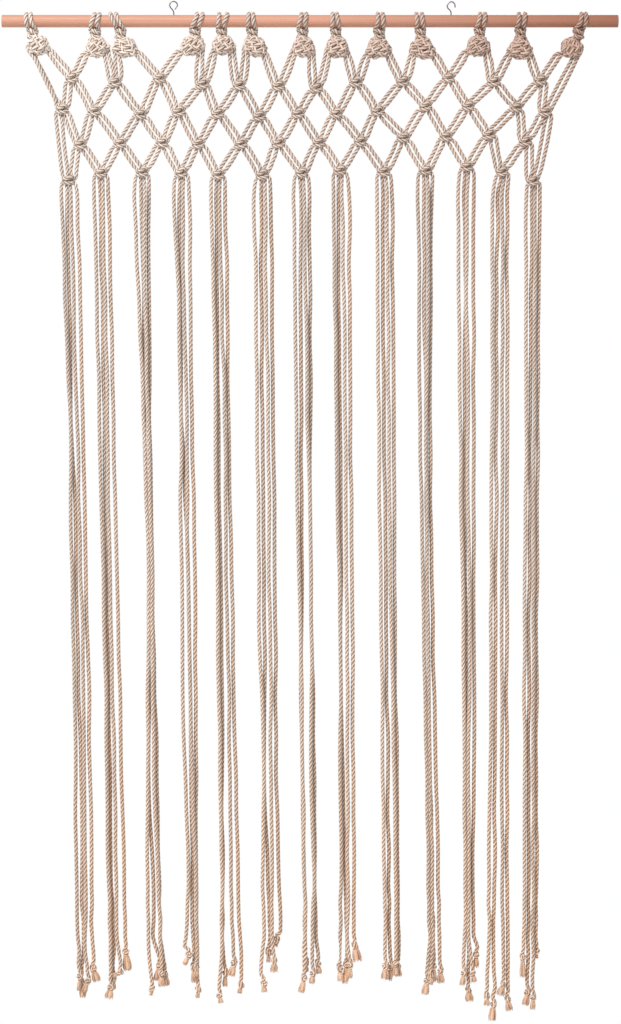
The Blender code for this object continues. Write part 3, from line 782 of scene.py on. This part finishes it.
def add_lines(name, ropes, seed):
    """An object of bare edges, one chain a rope, with each rope's thickness, tint and first turn."""
    points, edges, thickness, tints, phases = [], [], [], [], []
    chance = random.Random(seed)
    for rope in ropes:
        first = len(points)
        phase = chance.uniform(0.0, 2.0 * math.pi)
        for point in rope.points:
            points.append(Vector(point[:3]) * MM)
            thickness.append(point[3])
            tints.append(rope.tint)
            phases.append(phase)
        edges += [(i, i + 1) for i in range(first, len(points) - 1)]
    mesh = bpy.data.meshes.new(name)
    mesh.from_pydata(points, edges, [])
    for label, values in (("thickness", thickness), ("tint", tints), ("phase", phases)):
        mesh.attributes.new(label, "FLOAT", "POINT").data.foreach_set("value", values)
    piece = bpy.data.objects.new(name, mesh)
    bpy.context.scene.collection.objects.link(piece)
    return piece


def lay_rope(piece, radius, finish, spacing, sides, lay=1.0, groove=0.0):
    """Turn an object's lines into rope, or into smooth wire and fibres where it has no groove.

    Nine sides are turned by half a side, so that the grooves between the plies fall on points.
    """
    only(piece)
    modifier = piece.modifiers.new("rope", "NODES")
    modifier.node_group = rope_group()
    start = 0.5 / sides if sides == 9 else 0.0
    values = {"Radius": radius, "Lay": lay, "Groove": groove, "Ring spacing": spacing, "Sides": sides,
              "Start": start, "Finish": finish}
    for item in modifier.node_group.interface.items_tree:
        if item.in_out == "INPUT" and item.name in values:
            modifier[item.identifier] = values[item.name]
    bpy.ops.object.modifier_apply(modifier=modifier.name)
    for label in ("thickness", "phase", "along", "around"):
        attribute = piece.data.attributes.get(label)
        if attribute:
            piece.data.attributes.remove(attribute)
    return piece


# ---------------------------------------------------------------- finishes


def new_material(name):
    """A material, its nodes and its own Principled BSDF."""
    material = bpy.data.materials.new(name)
    material.use_nodes = True
    return material, material.node_tree, material.node_tree.nodes["Principled BSDF"]


def cotton_group():
    """Spun cotton: painted shade deep between the plies, yarn lines along them and fine fuzz, painted warm
    shade behind, warmer low down, and painted light and shade from left to right at the top.
    """
    name = "spun_cotton"
    if name in bpy.data.node_groups:
        return bpy.data.node_groups[name]
    group = new_group(name, "ShaderNodeTree", {
        "Crest colour": "Color", "Groove colour": "Color", "Yarn lines": "Float", "Blotches": "Float"},
        {"Colour": "Color", "Height": "Float"})
    given = group.nodes.new("NodeGroupInput").outputs
    crest = add_node(group, "ShaderNodeAttribute", output="Fac", attribute_name="crest")
    tint = add_node(group, "ShaderNodeAttribute", output="Fac", attribute_name="tint")
    place = add_node(group, "ShaderNodeTexCoord", output="Object")
    round_rope, along_rope, _ = add_split(group, add_node(group, "ShaderNodeTexCoord", output="UV"))
    slant = add_math(group, "MULTIPLY_ADD", along_rope, YARN_SLANT,
                     add_math(group, "MULTIPLY", round_rope, given["Yarn lines"]))
    lines = add_math(group, "SINE", add_math(group, "MULTIPLY", slant, 2.0 * math.pi))
    fuzz = add_noise(group, place, FUZZ_SCALE, 3.0)
    blotch = add_math(group, "SUBTRACT", add_noise(group, place, BLOTCH_SCALE, 2.0), 0.5)
    light = add_math(group, "MULTIPLY_ADD", lines, 0.05, 1.0)
    light = add_math(group, "MULTIPLY_ADD", blotch, given["Blotches"], light)
    light = add_math(group, "MULTIPLY_ADD", tint, 0.1, light)
    # Painted shade: the colour darkens to the groove colour in the hollows between the plies.
    depth = add_range(group, crest, 0.1, 0.9, kind="SMOOTHSTEP")
    colour = add_scaled(group, add_mix(group, depth, given["Groove colour"], given["Crest colour"]), light)

    # Painted warm shade behind and warmer low down, and painted light to the left and painted shade to the
    # right from the net upwards, by place in metres.
    across, away, up = add_split(group, place)
    shade_and_warmth = add_math(group, "ADD", add_range(group, away, -0.002, 0.006),
                      add_range(group, up, -0.7, -1.5, 0.0, 0.8))
    with_back_shade_and_warmth = add_mix(group, add_math(group, "MINIMUM", shade_and_warmth, 1.3), colour,
                   add_tint(group, colour, BACK_SHADE_AND_LOW_WARMTH), clamped=False)
    # Painted light on the left, painted shade on the right.
    painted_falloff = add_mix(group, add_range(group, across, -0.45, 0.45), LEFT_PAINTED_LIGHT, RIGHT_PAINTED_SHADE)
    painted_falloff_share = add_math(group, "ADD", add_range(group, up, -0.42, -0.22, 0.0, PAINTED_FALLOFF_IN_NET),
                        add_range(group, up, -0.08, -0.045, 0.0, PAINTED_FALLOFF_IN_BERRIES))
    fill(group, group.nodes.new("NodeGroupOutput"), {
        "Colour": add_mix(group, painted_falloff_share, with_back_shade_and_warmth, add_tint(group, with_back_shade_and_warmth, painted_falloff)),
        "Height": add_math(group, "MULTIPLY_ADD", fuzz, 0.8, add_math(group, "MULTIPLY", lines, 0.5))})
    return group


def cotton_finish(name, crest_colour, groove_shade_colour, yarn_lines, blotches):
    """Cotton rope or its frayed fibres."""
    if name in bpy.data.materials:
        return bpy.data.materials[name]
    material, tree, shader = new_material(name)
    cotton = tree.nodes.new("ShaderNodeGroup")
    cotton.node_tree = cotton_group()
    fill(tree, cotton, {
        "Crest colour": (*crest_colour, 1.0), "Groove colour": (*groove_shade_colour, 1.0),
        "Yarn lines": yarn_lines, "Blotches": blotches})
    fill(tree, shader, {
        "Base Color": cotton.outputs["Colour"],
        "Normal": add_node(tree, "ShaderNodeBump", {
            "Height": cotton.outputs["Height"], "Strength": 0.35, "Distance": 0.25 * MM}),
        "Roughness": 0.92, "Sheen Weight": 0.5, "Sheen Roughness": 0.5, "Specular IOR Level": 0.2})
    return material


def wood_finish():
    """Bare pale wood: year rings round a heart beside the dowel, pores along it, and a colour that deepens
    towards the right end, partly the wood's own tone and partly painted shade."""
    rod = settings().rod
    material, tree, shader = new_material("bare_wood")
    place = add_node(tree, "ShaderNodeTexCoord", output="Object")
    stretched = add_node(tree, "ShaderNodeMapping", {"Vector": place, "Scale": (0.06, 1.0, 1.0)})
    sway = add_noise(tree, stretched, 55.0, 2.0, output="Color")
    swayed = add_node(tree, "ShaderNodeVectorMath", {
        0: sway, 1: (0.007, 0.007, 0.007), 2: stretched}, operation="MULTIPLY_ADD")
    heart = add_node(tree, "ShaderNodeMapping", {
        "Vector": swayed, "Location": HEART_BESIDE, "Scale": (0.0, 1.0, 1.0)})
    distance = add_node(tree, "ShaderNodeVectorMath", {0: heart}, output="Value", operation="LENGTH")
    rings = add_math(tree, "SINE", add_math(tree, "MULTIPLY", distance, 2.0 * math.pi / YEAR_RING))
    pores = add_noise(tree, stretched, 900.0, 3.0)
    grain = add_math(tree, "MULTIPLY_ADD", rings, 0.28, add_math(tree, "MULTIPLY", pores, 0.9))
    colour = add_mix(tree, grain, (*rod.grain_colour, 1.0), (*rod.wood_colour, 1.0))
    # Deeper towards the right end: partly the wood's own tone, partly painted shade.
    tone_and_shade_share = add_range(tree, add_split(tree, place)[0], 0.0, 0.5)
    fill(tree, shader, {
        "Base Color": add_tint(tree, colour, add_mix(tree, tone_and_shade_share, WHITE, (*rod.right_tone_and_shade, 1.0))),
        "Normal": add_node(tree, "ShaderNodeBump", {
            "Height": pores, "Strength": 0.25, "Distance": 0.15 * MM}),
        "Roughness": add_range(tree, pores, 0.3, 0.7, 0.62, 0.48)})
    return material


def wire_finish():
    """Zinc plated wire, a little dull, with fine drawing marks."""
    material, tree, shader = new_material("zinc_wire")
    spots = add_noise(tree, add_node(tree, "ShaderNodeTexCoord", output="Object"), 700.0, 4.0)
    fill(tree, shader, {
        "Base Color": add_mix(tree, spots, (0.12, 0.12, 0.13, 1.0), (0.34, 0.34, 0.36, 1.0)),
        "Roughness": add_range(tree, spots, 0.3, 0.7, 0.28, 0.5), "Metallic": 1.0})
    return material


def floor_finish():
    """The stage's floor is one plain, pale colour."""
    material, tree, shader = new_material("studio_floor")
    fill(tree, shader, {"Base Color": (0.93, 0.93, 0.92, 1.0), "Roughness": 0.9})
    return material


# ---------------------------------------------------------------- helpers for the operators


def only(piece):
    """Select one object and nothing else."""
    bpy.ops.object.select_all(action="DESELECT")
    piece.select_set(True)
    bpy.context.view_layer.objects.active = piece


def join(first, others):
    """Join objects into the first."""
    only(first)
    for other in others:
        other.select_set(True)
    bpy.ops.object.join()


def hang(piece, slot, *nodes):
    """Let a piece ride on the hanging and stand for its solids."""
    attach(piece, BODY)
    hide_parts(*nodes)


def rope_finish():
    """The cotton of the laid rope."""
    rope = settings().rope
    return cotton_finish(
        "cotton_rope", rope.crest_colour, rope.groove_shade_colour, yarn_lines=18.0, blotches=0.22)


def tuft_finish():
    """The cotton of the frayed ends."""
    rope = settings().rope
    # The tufts take the rope's painted groove shade where their crest is low.
    return cotton_finish(
        "frayed_cotton", rope.tuft_colour, rope.groove_shade_colour, yarn_lines=3.0, blotches=0.35)


def lay_ropes(name, ropes, spacing, sides, seed, opened=1.0):
    """A piece of cotton rope, whose twist may be opened to a longer lay."""
    rope = settings().rope
    piece = add_lines(name, ropes, seed)
    return lay_rope(piece, rope.radius, rope_finish(), spacing, sides, rope.lay * opened, rope.groove)


class HANGING_OT_dowel(bpy.types.Operator):
    """Turn the round dowel, break the edges of its sawn ends and part its long faces at the middle"""

    bl_idname = "hanging.dowel"
    bl_label = "Dowel"

    def execute(self, context):
        low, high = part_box("dowel")
        bpy.ops.object.select_all(action="DESELECT")
        bpy.ops.mesh.primitive_cylinder_add(
            vertices=64, radius=(high.z - low.z) / 2.0, depth=high.x - low.x,
            rotation=(0.0, math.pi / 2.0, 0.0))
        dowel = context.object
        dowel.name = "wood_dowel"
        bpy.ops.object.transform_apply(location=True, rotation=True, scale=True)
        bevel = dowel.modifiers.new("worn_edge", "BEVEL")
        bevel.width = settings().rod.chamfer
        bevel.segments = 4
        bevel.angle_limit = math.radians(60.0)
        bpy.ops.object.modifier_apply(modifier="worn_edge")
        bpy.ops.object.mode_set(mode="EDIT")
        bpy.ops.mesh.select_all(action="SELECT")
        bpy.ops.mesh.bisect(plane_co=(0.0, 0.0, 0.0), plane_no=(1.0, 0.0, 0.0))
        bpy.ops.mesh.select_all(action="DESELECT")
        bpy.ops.object.mode_set(mode="OBJECT")
        bpy.ops.object.shade_smooth_by_angle(angle=math.radians(30.0))
        dowel.data.materials.append(wood_finish())
        hang(dowel, "beech", "dowel")
        return {"FINISHED"}


class HANGING_OT_screw_eyes(bpy.types.Operator):
    """Bend the two screw eyes from wire and stand them in the dowel"""

    bl_idname = "hanging.screw_eyes"
    bl_label = "Screw eyes"

    def execute(self, context):
        rod = settings().rod
        finish = wire_finish()
        for node, way in EYE_WAYS.items():
            low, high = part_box(node)
            middle, top = (low.x + high.x) / 2.0 / MM, (high.z - rod.wire_radius) / MM
            points = [Vector((middle + x, 0.0, top + z, 1.0)) for x, z in way]
            # The shank goes straight down into the dowel.
            points += [Vector((middle, 0.0, z, 1.0)) for z in (9.0, 3.0, low.z / MM + 0.5)]
            wire = add_lines(node.replace("screw", "wire"), [Rope(smooth_line(points), 0.0)], 1)
            lay_rope(wire, rod.wire_radius, finish, spacing=1.1 * MM, sides=14)
            hang(wire, "zinc", node)
        return {"FINISHED"}


class HANGING_OT_berries(bpy.types.Operator):
    """Weave the ball of each berry knot round a closed heart"""

    bl_idname = "hanging.berries"
    bl_label = "Berry knots"

    def execute(self, context):
        chance = random.Random(7)
        balls = [Rope(smooth_line(points), chance.uniform(-0.4, 1.0))
                 for number in range(len(GROUPS)) for points in ball_ropes(number)]
        spacing = settings().rope.net_rings
        berries = lay_ropes("berry_knots", balls, spacing, sides=12, seed=12, opened=BALL_LAY)
        hearts = []
        for group in GROUPS:
            bpy.ops.object.select_all(action="DESELECT")
            bpy.ops.mesh.primitive_uv_sphere_add(
                segments=16, ring_count=10, radius=1.0, location=(berry_middle(group) + BALL_MIDDLE) * MM)
            heart = context.object
            heart.scale = [HEART_SIZE * axis * MM for axis in (group.ball_width, BALL_DEPTH, BALL_HEIGHT)]
            bpy.ops.object.transform_apply(location=True, rotation=True, scale=True)
            bpy.ops.object.shade_smooth()
            heart.data.materials.append(rope_finish())
            hearts.append(heart)
        join(berries, hearts)
        hang(berries, "cotton", "net")
        return {"FINISHED"}


class HANGING_OT_net(bpy.types.Operator):
    """Fold the ropes over the dowel and tie them into the net of diamonds, knot by knot"""

    bl_idname = "hanging.net"
    bl_label = "Loops and net"

    def execute(self, context):
        rope = settings().rope
        low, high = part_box("dowel")
        dowel_radius = (high.z - low.z) / 2.0 / MM
        chance = random.Random(21)
        ropes = [Rope(smooth_line(points), chance.uniform(-0.8, 0.5))
                 for number in range(len(GROUPS))
                 for points in group_ropes(number, dowel_radius, rope.radius / MM)]
        net = lay_ropes("diamond_net", ropes, rope.net_rings, sides=12, seed=12)
        hang(net, "cotton", "net")
        return {"FINISHED"}


class HANGING_OT_tails(bpy.types.Operator):
    """Hang the tails from the lowest knots, each with its end knot and frayed tuft"""

    bl_idname = "hanging.tails"
    bl_label = "Tails"

    def execute(self, context):
        rope, tuft = settings().rope, settings().tuft
        for number in range(len(GROUPS)):
            chance = random.Random(500 + number)
            ropes, bodies, fibres = [], [], []
            for place in range(len(SLOT_ORDER)):
                points, knot, tip, width = tail_strand(number, place, chance)
                points += end_knot(knot, tip, chance)
                ropes.append(Rope(smooth_line(points), chance.uniform(-0.9, 0.9)))
                body, hairs = frayed_end(knot, tip, width, chance)
                tint = chance.uniform(-1.0, 1.0)
                bodies.append(Rope(body, tint))
                fibres += [Rope(points, tint + chance.uniform(-0.6, 0.6)) for points in hairs]
            name = f"rope_tail_{number + 1:02d}"
            tail = lay_ropes(name, ropes, rope.tail_rings, sides=9, seed=number)
            body = add_lines("tuft_bodies", bodies, number)
            lay_rope(body, rope.radius, tuft_finish(), spacing=2.5 * MM, sides=12)
            frayed = add_lines("frayed_ends", fibres, number)
            lay_rope(frayed, tuft.fibre_radius, tuft_finish(), spacing=4.0 * MM, sides=3)
            join(tail, [body, frayed])
            hang(tail, "cotton", f"tail_{number + 1:02d}")
        return {"FINISHED"}


class HANGING_OT_stage(bpy.types.Operator):
    """Lay the pale floor, hang the lights and set the camera"""

    bl_idname = "hanging.stage"
    bl_label = "Stage"

    def execute(self, context):
        stage = settings().stage
        bpy.ops.object.select_all(action="DESELECT")
        bpy.ops.mesh.primitive_circle_add(
            vertices=96, radius=stage.floor_radius, fill_type="NGON",
            location=(0.0, 0.0, SOLIDS_BOX[0].z - stage.floor_drop))
        floor = context.object
        floor.name = "studio_floor"
        bpy.ops.object.transform_apply(location=True, rotation=True, scale=True)
        floor.data.materials.append(floor_finish())
        for light in LIGHTS:
            bpy.ops.object.light_add(type="AREA", location=light.place)
            lamp = context.object
            lamp.name = light.name
            lamp.data.energy = light.energy
            lamp.data.size = light.size
            lamp.data.color = light.colour
            lamp.rotation_euler = (LIT_PLACE - lamp.location).to_track_quat("-Z", "Y").to_euler()
        self.light_world(context)
        bpy.ops.object.camera_add()
        camera = context.object
        camera.data.lens = stage.focal_length
        camera.data.sensor_width = 36.0
        height = IMAGE_HEIGHT * GRID * MM
        distance = height * stage.focal_length / camera.data.sensor_width
        camera.location = ((IMAGE_WIDTH / 2.0 - GRID_X) * GRID * MM, -distance,
                           (GRID_Z - IMAGE_HEIGHT / 2.0) * GRID * MM)
        camera.rotation_euler = (math.pi / 2.0, 0.0, 0.0)
        context.scene.camera = camera
        context.scene.view_settings.view_transform = "Standard"
        return {"FINISHED"}

    def light_world(self, context):
        """A white surround, which lights the hanging less than it shows."""
        world = bpy.data.worlds.new("studio")
        world.use_nodes = True
        context.scene.world = world
        tree = world.node_tree
        shown = tree.nodes["Background"]
        fill(tree, shown, {"Color": WHITE, "Strength": 1.0})
        lighting = add_node(tree, "ShaderNodeBackground", {"Color": WHITE, "Strength": SURROUND_LIGHT})
        seen = add_node(tree, "ShaderNodeLightPath", output="Is Camera Ray")
        mixed = add_node(tree, "ShaderNodeMixShader", {0: seen, 1: lighting, 2: shown.outputs[0]})
        fill(tree, tree.nodes["World Output"], {"Surface": mixed})


STEPS = (HANGING_OT_dowel, HANGING_OT_screw_eyes, HANGING_OT_berries, HANGING_OT_net, HANGING_OT_tails,
         HANGING_OT_stage)


class HANGING_PT_panel(bpy.types.Panel):
    """Lists the pieces and what can be changed"""

    bl_idname = "HANGING_PT_panel"
    bl_label = "Macrame hanging"
    bl_space_type = "VIEW_3D"
    bl_region_type = "UI"
    bl_category = "Hanging"

    def draw(self, context):
        for group in (settings().rope, settings().tuft, settings().rod, settings().stage):
            box = self.layout.box()
            for name in group.__annotations__:
                box.prop(group, name)
        for step in STEPS:
            self.layout.operator(step.bl_idname)


CLASSES = (RopeSettings, TuftSettings, RodSettings, StageSettings, HangingSettings, *STEPS, HANGING_PT_panel)


def register():
    """Make the settings, the operators and the panel known."""
    for item in CLASSES:
        bpy.utils.register_class(item)
    bpy.types.Scene.hanging = bpy.props.PointerProperty(type=HangingSettings)


def unregister():
    """Take them away again."""
    del bpy.types.Scene.hanging
    for item in reversed(CLASSES):
        bpy.utils.unregister_class(item)


def main():
    """Dress the hanging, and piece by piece."""
    register()
    bpy.ops.hanging.dowel()
    bpy.ops.hanging.screw_eyes()
    bpy.ops.hanging.berries()
    bpy.ops.hanging.net()
    bpy.ops.hanging.tails()
    bpy.ops.hanging.stage()


if __name__ == "__main__":
    main()
